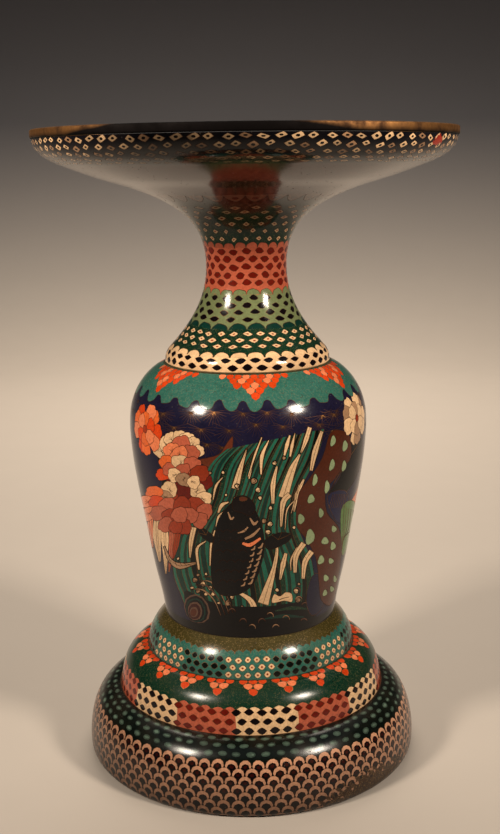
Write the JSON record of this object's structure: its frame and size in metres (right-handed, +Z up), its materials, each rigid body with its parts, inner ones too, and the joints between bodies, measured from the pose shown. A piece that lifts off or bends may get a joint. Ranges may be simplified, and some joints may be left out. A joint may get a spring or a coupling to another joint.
{
  "type": "cloisonne jardiniere",
  "caption": "Standing flower vessel of enamelled copper: a wide flat dish on a trumpet neck and collar, a tall jar below it and a stepped round foot, with a metal binding on the rim",
  "frame": {"origin": "centre of the foot's underside, on the surface that the object stands on", "axes": "+Z up along the axis that every piece is turned about, -Y towards the side with the carp and waterfall, +X to the right of that side"},
  "size_m": [0.291, 0.291, 0.45],
  "materials": {
    "foot_enamel": "polished cloisonne enamel in bands of diaper, scallop and fish-scale cells with fine brass wires, worn brown at one side of the skirt",
    "body_enamel": "polished dark blue cloisonne enamel with a waterfall, carp, peonies and a spotted trunk in flat cells between fine brass wires",
    "dish_enamel": "polished cloisonne enamel: navy rim wall with cream diamonds, brown-red diaper under the dish, green, brick, sage and cream bands on the neck",
    "rim_metal": "aged brass, dull gold with brown tarnish"
  },
  "bodies": {
    "root": {"foot": "foot_enamel", "body": "body_enamel", "dish": "dish_enamel", "rim_band": "rim_metal"}
  },
  "joints": []
}
